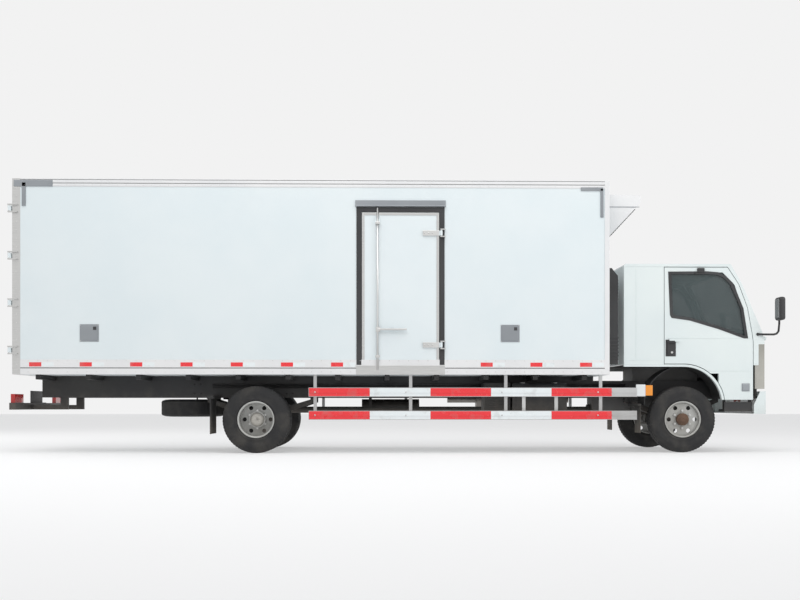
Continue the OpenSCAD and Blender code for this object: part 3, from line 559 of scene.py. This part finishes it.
# ---- Side guards ----
# Two aluminium bars with a long ridge, wrapped in red and white tape in turn, with a bare silver front end.
guard_paint = painted("guard_bar", (0.6, 0.61, 0.61), (0.5, 0.5, 0.5), 0.32, 0.75, dirt=0.35, dirt_top=1.3)
dress(guard_paint, "side_guards")
guard_low, guard_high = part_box("side_guards")
for side, word in ((-1, "right"), (1, "left")):
    face = side * guard_high[1]
    bands = {"red": [], "white": []}
    ridges = []
    for z0, z1 in ((guard_low[2], guard_low[2] + 0.112), (0.706, 0.819)):
        for i in range(5):
            x = guard_low[0] + 0.005 + i * 0.756
            bands["white" if i % 2 else "red"].append(((x, face, z0 + 0.006), (x + 0.754, face + side * 0.0012,
                                                                              z1 - 0.006)))
            bands["white" if i % 2 else "red"].append(((x, face, (z0 + z1) / 2 - 0.01),
                                                       (x + 0.754, face + side * 0.007, (z0 + z1) / 2 + 0.01)))
        ridges.append(((guard_low[0] + 3.79, face, (z0 + z1) / 2 - 0.01), (guard_high[0], face + side * 0.006,
                                                                         (z0 + z1) / 2 + 0.01)))
    blocks("guard_red_" + word, bands["red"], red_tape, "chassis", 0.0004)
    blocks("guard_white_" + word, bands["white"], silver_tape, "chassis", 0.0004)
    blocks("guard_ridges_" + word, ridges, guard_paint, "chassis", 0.004)
    rivets("guard_bolts_" + word, [(x, face + side * 0.006, z) for x in (-1.03, 0.1, 1.3, 2.5) for z in
                                   (0.475, 0.7625)], 0.011, bright, "chassis")

# ---- Side door fittings ----
# A dark rubber seal frames the white door. A grey drip rail lies over it and a pale stainless sill under it, and
# two small hatch plates with a latch sit lower on the wall.
wall = -side_y
ring = 0.055
blocks("side_door_seal", [
    ((way_x0 - ring, wall - 0.0085, way_z0), (way_x0 + 0.006, wall, way_z1 - 0.006)),
    ((way_x1 - 0.006, wall - 0.0085, way_z0), (way_x1 + ring, wall, way_z1 - 0.006)),
    ((way_x0 - ring, wall - 0.0085, way_z1 - 0.006), (way_x1 + ring, wall, way_z1 + ring))], seal_black, "chassis",
    0.003)
blocks("door_leaf_edge", [
    ((way_x0 + 0.013, wall - 0.005, way_z0 + 0.05), (way_x0 + 0.045, wall, way_z1 - 0.046)),
    ((way_x1 - 0.045, wall - 0.005, way_z0 + 0.05), (way_x1 - 0.013, wall, way_z1 - 0.046)),
    ((way_x0 + 0.013, wall - 0.005, way_z1 - 0.046), (way_x1 - 0.013, wall, way_z1 - 0.014)),
    ((way_x0 + 0.013, wall - 0.005, way_z0 + 0.014), (way_x1 - 0.013, wall, way_z0 + 0.05))], stainless.material,
    "side_door", 0.002)
blocks("drip_rail", [((way_x0 - 0.07, wall - 0.035, way_z1 + 0.06), (way_x1 + 0.07, wall, way_z1 + 0.075)),
                     ((way_x0 - 0.07, wall - 0.012, way_z1 + 0.06), (way_x1 + 0.07, wall, way_z1 + 0.14))],
       grey_metal, "chassis", 0.003)
blocks("door_sill", [((way_x0 - 0.06, wall - 0.013, floor_z - 0.002), (way_x1 + 0.06, wall, load_z - 0.01)),
                     ((way_x0 - 0.06, wall - 0.02, load_z - 0.02), (way_x1 + 0.06, wall, load_z - 0.008))],
       stainless.material, "chassis", 0.003)
plates, latches = [], []
for x in (x0 + 0.83, x1 - 1.36):
    plates.append(((x, wall - 0.005, 1.385), (x + 0.235, wall, 1.6)))
    plates.append(((x + 0.02, wall - 0.008, 1.405), (x + 0.215, wall, 1.58)))
    latches.append(((x + 0.165, wall - 0.014, 1.53), (x + 0.205, wall - 0.008, 1.57)))
blocks("hatch_plates", plates, grey_metal, "chassis", 0.003)
blocks("hatch_latches", latches, seal_black, "chassis", 0.003)
rivets("hatch_screws", [(x + dx, wall - 0.005, z) for x in (x0 + 0.83, x1 - 1.36) for dx in (0.01, 0.225)
                        for z in (1.395, 1.59)], 0.005, bright, "chassis")
blocks("side_lock_fittings", [
    ((way_x0 + 0.185, wall - 0.036, way_z0 + 0.41), (way_x0 + 0.24, wall - 0.005, way_z0 + 0.47)),
    ((way_x0 + 0.18, wall - 0.04, way_z1 - 0.16), (way_x0 + 0.236, wall, way_z1 - 0.13)),
    ((way_x0 + 0.18, wall - 0.04, way_z0 + 0.09), (way_x0 + 0.236, wall, way_z0 + 0.12)),
    ((way_x0 + 0.2, wall - 0.045, way_z0 + 0.428), (way_x0 + 0.57, wall - 0.027, way_z0 + 0.452))],
    bright, "side_door", 0.004)
rods("side_lock_bar", [((way_x0 + 0.207, wall - 0.02, way_z0 - 0.06), (way_x0 + 0.207, wall - 0.02,
                                                                     way_z1 + 0.043), 0.0125)],
     bright, "side_door")

side_hinge_z = (1.348, 2.738)
blocks("side_hinge_straps", [((0.308, wall - 0.018, z - 0.033), (0.512, wall - 0.001, z + 0.033))
                             for z in side_hinge_z], bright, "side_door", 0.003)
rivets("side_hinge_bolts", [(x, wall - 0.018, z) for x in (0.33, 0.38, 0.43) for z in side_hinge_z], 0.009,
       stainless.material, "side_door")

# ---- Rear doors ----
# Two insulated leaves with rubber seals, stainless edges and lock bars; lamps stand on the underrun bar.
rear_hinge_z = (1.28, 1.863, 2.447, 3.03)
for side, word in ((-1, "right"), (1, "left")):
    low, high = 0.012 * side, side * (side_y - 0.103)
    z0, z1 = load_z + 0.014, top - 0.204
    blocks("rear_door_seal_" + word, [
        ((x0 - 0.004, low, z0 + 0.04), (x0, low + side * 0.04, z1 - 0.04)),
        ((x0 - 0.004, high - side * 0.04, z0 + 0.04), (x0, high, z1 - 0.04)),
        ((x0 - 0.004, low, z1 - 0.04), (x0, high, z1)), ((x0 - 0.004, low, z0), (x0, high, z0 + 0.04))],
        seal_black, "rear_door_" + word, 0.002)
    rods("rear_lock_bar_" + word, [((x0 - 0.02, side * 0.26, load_z - 0.06), (x0 - 0.02, side * 0.26, z1 + 0.05),
                                    0.0125)], bright, "rear_door_" + word)
    blocks("rear_lock_fittings_" + word, [
        ((x0 - 0.036, side * 0.23, z - 0.015), (x0, side * 0.29, z + 0.015)) for z in (load_z + 0.12, load_z + 0.42,
                                                                                    load_z + 0.9, z1 - 0.12)],
        bright, "rear_door_" + word, 0.004)
    blocks("rear_hinge_straps_" + word, [((x0 - 0.018, side * 0.864, z - 0.033), (x0 - 0.001, high, z + 0.033))
                                         for z in rear_hinge_z], bright, "rear_door_" + word,
           0.003)
    rivets("rear_door_rivets_" + word, along((x0 - 0.004, side * 0.03, z0 + 0.1), (x0 - 0.004, side * 0.03,
           z1 - 0.1), 16), 0.005, bright, "rear_door_" + word)

lamp_red = painted("lamp_lens_red", (0.5, 0.012, 0.008), (0.42, 0.01, 0.008), 0.15, 0.0, coat=0.6, dirt=0.25,
                   grain=30, depth=0.0002)
amber = painted("lamp_lens_amber", (0.85, 0.3, 0.02), (0.78, 0.26, 0.02), 0.15, 0.0, coat=0.6, dirt=0.2)
clear = painted("lamp_lens_clear", (0.78, 0.8, 0.8), (0.7, 0.73, 0.74), 0.08, 0.15, coat=0.8, dirt=0.12,
                grain=24, depth=0.0006)
dress(lamp_red, "rear_lamps")
lamp_low, lamp_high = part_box("rear_lamps")
ambers, whites = [], []
for side in (-1, 1):
    edge = side * lamp_high[1]
    ambers.append(((lamp_low[0] - 0.003, edge - side * 0.09, lamp_low[2] + 0.012),
                   (lamp_low[0], edge - side * 0.01, lamp_high[2] - 0.012)))
    whites.append(((lamp_low[0] - 0.003, edge - side * 0.33, lamp_low[2] + 0.012),
                   (lamp_low[0], edge - side * 0.27, lamp_high[2] - 0.012)))
blocks("rear_indicators", ambers, amber, "chassis", 0.002)
blocks("reversing_lamps", whites, clear, "chassis", 0.002)
sheet = painted("rubber_sheet", (0.022, 0.022, 0.023), (0.045, 0.042, 0.038), 0.7, dirt=0.6, dirt_top=0.8)
dress(sheet, "mud_flaps")

# ---- Fridge unit and air intake ----
# A white moulded housing hangs on the front wall, with louvres on its slanted face. A black plastic duct with
# slots at its top and bellows low down stands behind the cab.
dress(white_rail, "fridge_unit")
unit_low, unit_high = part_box("fridge_unit")
slope_a = Vector((unit_low[0] + 0.04, 0, unit_high[2] - 0.56))
slope_b = Vector((unit_low[0] + 0.47, 0, unit_high[2] - 0.1))
louvres = []
for i in range(14):
    spot = slope_a.lerp(slope_b, 0.12 + i * 0.058)
    louvres.append(((spot.x, -0.7, spot.z - 0.012), (spot.x + 0.016, 0.7, spot.z)))
blocks("unit_louvres", louvres, seal_black, "chassis", 0.002)
side_seams = []
for side in (-1, 1):
    y = side * unit_high[1]
    side_seams.append(((unit_low[0] + 0.02, y, unit_high[2] - 0.165), (unit_high[0] - 0.02, y + side * 0.004,
                                                                     unit_high[2] - 0.155)))
    side_seams.append(((unit_low[0], y, unit_low[2] + 0.02), (unit_low[0] + 0.018, y + side * 0.006,
                                                             unit_high[2] - 0.02)))
blocks("unit_seams", side_seams, grey_metal, "chassis", 0.001)
duct = painted("duct_plastic", (0.02, 0.02, 0.021), (0.035, 0.035, 0.036), 0.5, dirt=0.4, dirt_top=1.8, grain=90)
dress(duct, "air_intake")
duct_low, duct_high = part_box("air_intake")
rings = [((duct_low[0] + 0.002, duct_low[1] - 0.006, duct_low[2] + 0.05 + 0.045 * i),
          (duct_high[0] + 0.006, duct_high[1] + 0.006, duct_low[2] + 0.07 + 0.045 * i)) for i in range(7)]
rings += [((duct_high[0], duct_low[1] + 0.015, duct_high[2] - 0.4 + 0.04 * i),
           (duct_high[0] + 0.008, duct_high[1] - 0.015, duct_high[2] - 0.385 + 0.04 * i)) for i in range(7)]
blocks("duct_ribs", rings, duct, "chassis", 0.004)

# ---- Cab shell ----
# A pressed steel tilt cab in white enamel with black inner arches and steps. The front panel has a black grille,
# and a lip below the windscreen carries the wipers.
cab_white = painted("cab_enamel", (0.74, 0.8, 0.79), (0.7, 0.765, 0.765), 0.2, 0.0, coat=0.5, dirt=0.3,
                    dirt_top=1.1, grain=120, depth=0.0002)
plastic = painted("moulded_black", (0.02, 0.02, 0.021), (0.03, 0.03, 0.031), 0.42, 0.0, dirt=0.35, dirt_top=0.9,
                  grain=260, depth=0.0003)
dress(cab_white, "cab_shell", "front_panel", "arch_flanges", "cab_door_left", "cab_door_right", "front_bumper")
dress(plastic, "arch_liners", "cab_steps")
trim = painted("cabin_trim", (0.1, 0.105, 0.11), (0.075, 0.08, 0.085), 0.6, dirt=0.1, grain=300, depth=0.0006)
floor_mat = painted("floor_mat", (0.03, 0.03, 0.032), (0.05, 0.048, 0.045), 0.8, dirt=0.3, grain=200, depth=0.001)
dress(trim, "dashboard")
dress(floor_mat, "cab_floor")
dress(plastic, "steering_wheel")
cab_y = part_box("cab_shell")[1][1]
front_x = 3.61
cab_z = 0.7


def at(points):
    """Cab outline points, in millimetres from the front axle, as X and Z in metres."""
    return [(front_x + x / 1000, cab_z + z / 1000) for x, z in points]


def offset(points, width):
    """The outline moved inwards by width, with mitred corners."""
    area = sum(a[0] * b[1] - b[0] * a[1] for a, b in zip(points, points[1:] + points[:1]))
    sign = 1 if area > 0 else -1
    moved = []
    for before, here, after in zip(points[-1:] + points[:-1], points, points[1:] + points[:1]):
        first = Vector((here[0] - before[0], here[1] - before[1])).normalized()
        second = Vector((after[0] - here[0], after[1] - here[1])).normalized()
        inward = Vector((-first.y, first.x)) + Vector((-second.y, second.x))
        inward *= sign * width / max(0.3, 1 + first.dot(second))
        moved.append((here[0] + inward.x, here[1] + inward.y))
    return moved


def band(name, outline, outer, inner, y0, y1, material, body):
    """A closed flat ring between two offsets of an outline, between y0 and y1."""
    form = bmesh.new()
    loops = []
    for y, width in ((y0, outer), (y1, outer), (y1, inner), (y0, inner)):
        loops.append([form.verts.new((x, y, z)) for x, z in offset(outline, width)])
    for one, two in zip(loops, loops[1:] + loops[:1]):
        for i in range(len(outline)):
            j = (i + 1) % len(outline)
            form.faces.new((one[i], one[j], two[j], two[i]))
    bmesh.ops.recalc_face_normals(form, faces=form.faces)
    return kept(form, name, material, body)


window = at([(-188, 1569), (300, 1574), (430, 1562), (520, 1520), (600, 1440), (660, 1310), (738, 1119),
             (795, 756), (762, 756), (450, 869), (75, 981), (-150, 1012), (-166, 1040)])
grille = [((4.63, -0.66, z), (4.636, 0.66, z + 0.03)) for z in (0.87, 0.93, 0.99, 1.05)]
grille.append(((4.628, -0.7, 1.2), (4.636, 0.7, 1.26)))
blocks("front_grille", grille, plastic, "cab", 0.003)
lip_form = bmesh.new()
lip = ((4.56, 1.462), (4.6, 1.482), (4.665, 1.472), (4.68, 1.45), (4.665, 1.42), (4.58, 1.4))
ends = [[lip_form.verts.new((x, y, z)) for x, z in lip] for y in (-0.99, 0.99)]
for i in range(len(lip)):
    j = (i + 1) % len(lip)
    lip_form.faces.new((ends[0][i], ends[0][j], ends[1][j], ends[1][i]))
lip_form.faces.new(ends[0])
lip_form.faces.new(ends[1])
bmesh.ops.recalc_face_normals(lip_form, faces=lip_form.faces)
bmesh.ops.bevel(lip_form, geom=list(lip_form.edges), offset=0.005, segments=2, affect="EDGES", profile=0.6)
kept(lip_form, "cowl_lip", cab_white, "cab")
rods("wipers", [((4.63, y, 1.49), (4.578, y - 0.36, 1.62), 0.007) for y in (0.15, 0.8)]
     + [((4.6, y - 0.62, 1.562), (4.565, y - 0.1, 1.645), 0.009) for y in (0.15, 0.8)], plastic, "cab")
blocks("bumper_slot", [((4.642, -0.5, 0.6), (4.645, 0.5, 0.67)), ((4.642, -0.98, 0.69), (4.645, 0.98, 0.705))],
       plastic, "chassis", 0.001)

# ---- Cab doors, handles and trims ----
# Each door window has a black rubber surround. A black grab handle in a recess, a bracket at the top and a
# side repeater lamp are screwed to the door skin, and seams follow the roof and the door edge.
for side, word in ((-1, "right"), (1, "left")):
    face = side * cab_y
    door = "cab_door_" + word
    band("window_surround_" + word, window, -0.014, 0.022, face - side * 0.012, face + side * 0.004, seal_black,
         door)
    blocks("door_handle_" + word, [((3.375, face, 1.215), (3.505, face + side * 0.004, 1.425)),
                                   ((3.392, face, 1.385), (3.49, face + side * 0.024, 1.412)),
                                   ((3.395, face, 1.24), (3.42, face + side * 0.012, 1.41))], plastic, door,
           0.004)
    rods("door_lock_" + word, [((3.455, face, 1.265), (3.455, face + side * 0.008, 1.265), 0.014)], bright, door)
    blocks("door_bracket_" + word, [((3.775, face - side * 0.01, 2.27), (3.865, face + side * 0.022, 2.328)),
                                    ((3.745, face - side * 0.01, 2.245), (3.875, face + side * 0.014, 2.275))],
           plastic, door, 0.006)
    blocks("side_repeater_" + word, [((4.34, face, 0.775), (4.44, face + side * 0.006, 0.875)),
                                     ((4.35, face, 0.785), (4.43, face + side * 0.012, 0.865))], grey_metal,
           door, 0.004)
    blocks("door_crease_" + word, [((3.37, face, 1.44), (4.46, face + side * 0.003, 1.448)),
                                   ((3.9, face, 1.03), (4.46, face + side * 0.003, 1.036))], cab_white, door,
           0.0012)
    blocks("cab_seams_" + word, [((2.87, face, 1.165), (3.33, face + side * 0.003, 1.173)),
                                 ((3.0, face, 1.18), (3.006, face + side * 0.003, 2.33)),
                                 ((2.87, face - side * 0.002, 2.346), (4.17, face + side * 0.004, 2.353))],
           cab_white, "cab", 0.0012)
    rivets("step_studs_" + word, [(x, side * (0.83 + 0.04 * k), 0.6405) for x in (4.17, 4.22, 4.27, 4.32, 4.37, 4.42)
                                  for k in range(5)], 0.006, bright, "cab")

# ---- Glass, lamps and mirrors ----
# Thin tinted safety glass, headlamp lenses painted dark grey as painted shade of the lamp's inside behind clear
# glass, with bright reflectors behind, and mirror glass facing rearwards.
pane = Finish("tinted_glass")
smear = pane.noise(3, 5, (1, 1, 0.4))
pane.feed("Base Color", pane.mix(smear, (0.03, 0.05, 0.055), (0.1, 0.13, 0.13)))
pane.feed("Roughness", 0.04 + smear * 0.08)
pane.feed("Alpha", 0.55 + smear * 0.15)
pane.feed("Specular IOR Level", 0.6)
pane.bump(pane.noise(2, 2), 0.05, 0.002)
dress(pane.material, "windscreen", "rear_window", "door_glass_left", "door_glass_right")
mirror_glass = Finish("mirror_silver")
mist = mirror_glass.noise(9, 4)
mirror_glass.feed("Base Color", mirror_glass.mix(mist, (0.72, 0.74, 0.75), (0.8, 0.81, 0.82)))
mirror_glass.feed("Metallic", 1.0)
mirror_glass.feed("Roughness", 0.03 + mist * 0.05)
mirror_glass.bump(mist, 0.02, 0.0005)
mirror_form = bmesh.new()
for side in (-1, 1):
    made = bmesh.ops.create_cube(mirror_form, size=1.0)["verts"]
    bmesh.ops.scale(mirror_form, vec=(0.082, 0.185, 0.29), verts=made)
    bmesh.ops.translate(mirror_form, vec=(4.776, side * 1.2, 1.805), verts=made)
bmesh.ops.bevel(mirror_form, geom=list(mirror_form.edges), offset=0.034, segments=6, affect="EDGES", profile=0.55)
for side in (-1, 1):
    arm = [(4.54, 1.05, 1.495), (4.6, 1.075, 1.492), (4.73, 1.1, 1.49), (4.765, 1.103, 1.5), (4.788, 1.107, 1.53),
           (4.795, 1.112, 1.62), (4.792, 1.125, 1.7)]
    for start, end in zip(arm, arm[1:]):
        start = Vector((start[0], side * start[1], start[2]))
        end = Vector((end[0], side * end[1], end[2]))
        spot = Matrix.Translation((start + end) / 2) @ (end - start).to_track_quat("Z", "Y").to_matrix().to_4x4()
        bmesh.ops.create_cone(mirror_form, cap_ends=True, segments=16, radius1=0.013, radius2=0.013,
                              depth=(end - start).length + 0.008, matrix=spot)
    bmesh.ops.create_uvsphere(mirror_form, u_segments=16, v_segments=10, radius=0.02,
                              matrix=Matrix.Translation((4.545, side * 1.055, 1.495)))
mirror_heads = kept(mirror_form, "mirror_heads", plastic, "cab")
for face in mirror_heads.data.polygons:
    face.use_smooth = face.area < 0.002
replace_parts(mirror_heads, "mirrors")
blocks("mirror_faces", [((4.7335, side * 1.13, 1.69), (4.736, side * 1.27, 1.92)) for side in (-1, 1)],
       mirror_glass.material, "cab", 0.001)
# Painted shade: the headlamp lens is an opaque dark grey that stands in for the shaded lamp inside seen through
# clear glass.
lens = painted("headlamp_lens_painted_shade", (0.3, 0.295, 0.26), (0.46, 0.45, 0.41), 0.12, 0.3, coat=0.8, dirt=0.15, grain=30,
               depth=0.001)
dress(lens, "headlamps")
bowls = bmesh.new()
for side in (-1, 1):
    for y in (0.85, 0.965):
        spot = Matrix.Translation((4.6305, side * y, 1.16)) @ Matrix.Rotation(math.radians(90), 4, "Y")
        bmesh.ops.create_cone(bowls, cap_ends=True, segments=36, radius1=0.052, radius2=0.03, depth=0.004,
                              matrix=spot)
kept(bowls, "lamp_reflectors", bright, "cab")
blocks("front_indicators", [((4.63, side * 0.8, 0.87), (4.633, side * 1.0, 0.95)) for side in (-1, 1)], amber,
       "cab", 0.001)
blocks("side_marker_lamps", [lamp for side in (-1, 1) for lamp in (
    ((2.98, side * 1.121, 0.71), (3.1, side * 1.146, 0.86)),)], clear, "chassis", 0.008)
blocks("side_markers_amber", [((3.1, side * 1.121, 0.72), (3.19, side * 1.146, 0.85)) for side in (-1, 1)],
       amber, "chassis", 0.008)

# ---- Seats ----
# Two foam seats under woven cloth. Each cushion and back is a crowned pad, swelled by a cloth simulation, with
# sewn channels pressed in afterwards.
cloth = Finish("seat_weave")
weave = 1900.0
threads = ((cloth.axis("X") * weave).math("SINE") * (cloth.axis("Y") * weave).math("SINE") * 0.5
           + (cloth.axis("Z") * weave).math("SINE") * 0.25)
fuzz = cloth.noise(500, 3)
cloth.feed("Base Color", cloth.mix(cloth.step(threads + fuzz, 0.2, 1.1), (0.06, 0.065, 0.075),
                                   (0.13, 0.135, 0.15)))
cloth.feed("Roughness", 0.82 + fuzz * 0.12)
cloth.feed("Sheen Weight", 0.2)
cloth.bump(threads + fuzz, 0.4, 0.0008)


def pad(name, low, high, channels):
    """A closed crowned pad: a soft box, remeshed, swelled by a short cloth run and then sewn across."""
    form = bmesh.new()
    made = bmesh.ops.create_cube(form, size=1.0)["verts"]
    middle = Vector([(a + b) / 2 for a, b in zip(low, high)])
    size = Vector([abs(b - a) for a, b in zip(low, high)])
    slim = Vector([s - 0.018 for s in size])
    bmesh.ops.scale(form, vec=slim, verts=made)
    bmesh.ops.bevel(form, geom=list(form.edges), offset=0.028, segments=4, affect="EDGES", profile=0.6)
    mesh = bpy.data.meshes.new(name)
    form.to_mesh(mesh)
    form.free()
    piece = bpy.data.objects.new(name, mesh)
    bpy.context.scene.collection.objects.link(piece)
    remesh = piece.modifiers.new("remesh", "REMESH")
    remesh.mode = "VOXEL"
    remesh.voxel_size = 0.006
    bpy.context.view_layer.update()
    solid = bpy.data.meshes.new_from_object(piece.evaluated_get(bpy.context.evaluated_depsgraph_get()))
    piece.modifiers.clear()
    piece.data = solid
    rest = [v.co.copy() for v in solid.vertices]
    swell = piece.modifiers.new("swell", "CLOTH")
    swell.settings.quality = 3
    swell.collision_settings.use_collision = False
    swell.settings.use_pressure = True
    swell.settings.uniform_pressure_force = 4.0
    swell.settings.effector_weights.gravity = 0.0
    swell.point_cache.frame_start = 1
    swell.point_cache.frame_end = 20
    for step in range(1, 21):
        bpy.context.scene.frame_set(step)
    puffed = bpy.data.meshes.new_from_object(piece.evaluated_get(bpy.context.evaluated_depsgraph_get()))
    piece.modifiers.clear()
    piece.data = puffed
    bpy.context.scene.frame_set(1)
    thin = min(range(3), key=lambda axis: size[axis])
    across = 0 if thin == 2 else 2
    for spot, vertex in zip(rest, piece.data.vertices):
        move = vertex.co - spot
        if move.length > 0.009:
            move = move.normalized() * 0.009
        here = spot + move
        rel = [here[i] / (size[i] / 2) for i in range(3)]
        crown = max(0.0, 1 - rel[across] ** 2) * max(0.0, 1 - rel[1] ** 2)
        if abs(rel[thin]) > 0.4:
            here[thin] += math.copysign(0.006 * crown, here[thin])
            groove = max(math.exp(-((rel[across] - c) / 0.035) ** 2) for c in channels)
            here[thin] -= math.copysign(0.009 * groove, here[thin])
        vertex.co = here + middle
    for face in piece.data.polygons:
        face.use_smooth = True
    made_mesh = piece.data
    bpy.data.objects.remove(piece)
    return made_mesh


low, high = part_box("driver_seat")
split = low[0] + 0.12
cushion_pad = pad("cushion_pad", (low[0] + 0.115, low[1], low[2]), (high[0], high[1], low[2] + 0.13),
                  (-0.45, 0.0, 0.45))
back_pad = pad("back_pad", low, (split, high[1], high[2]), (-0.5, -0.15, 0.2, 0.6))
for word in ("driver", "passenger"):
    shift = Matrix.Translation((0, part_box(word + "_seat")[0][1] - low[1], 0))
    cushion_copy, back_copy = cushion_pad.copy(), back_pad.copy()
    cushion_copy.transform(shift)
    back_copy.transform(shift)
    seat = add_mesh(word + "_cushion", cushion_copy, cloth.material, "cab")
    back = add_mesh(word + "_backrest", back_copy, cloth.material, "cab")
    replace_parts(seat, word + "_seat")

# ---- Floor ----
# A plain pale floor that keeps the soft shadow and shows almost white to the camera.
floor_form = bmesh.new()
bmesh.ops.create_grid(floor_form, x_segments=2, y_segments=2, size=60)
floor_mesh = bpy.data.meshes.new("studio_floor")
floor_form.to_mesh(floor_mesh)
floor_form.free()
floor = bpy.data.objects.new("studio_floor", floor_mesh)
bpy.context.scene.collection.objects.link(floor)
pale = Finish("pale_floor")
tone = pale.noise(0.3, 2)
pale.feed("Base Color", pale.mix(tone, (0.5, 0.5, 0.5), (0.52, 0.52, 0.52)))
pale.feed("Roughness", 0.95)
pale.feed("Emission Color", (0.888, 0.888, 0.888, 1))
pale.feed("Emission Strength", 0.45)
floor_mesh.materials.append(pale.material)
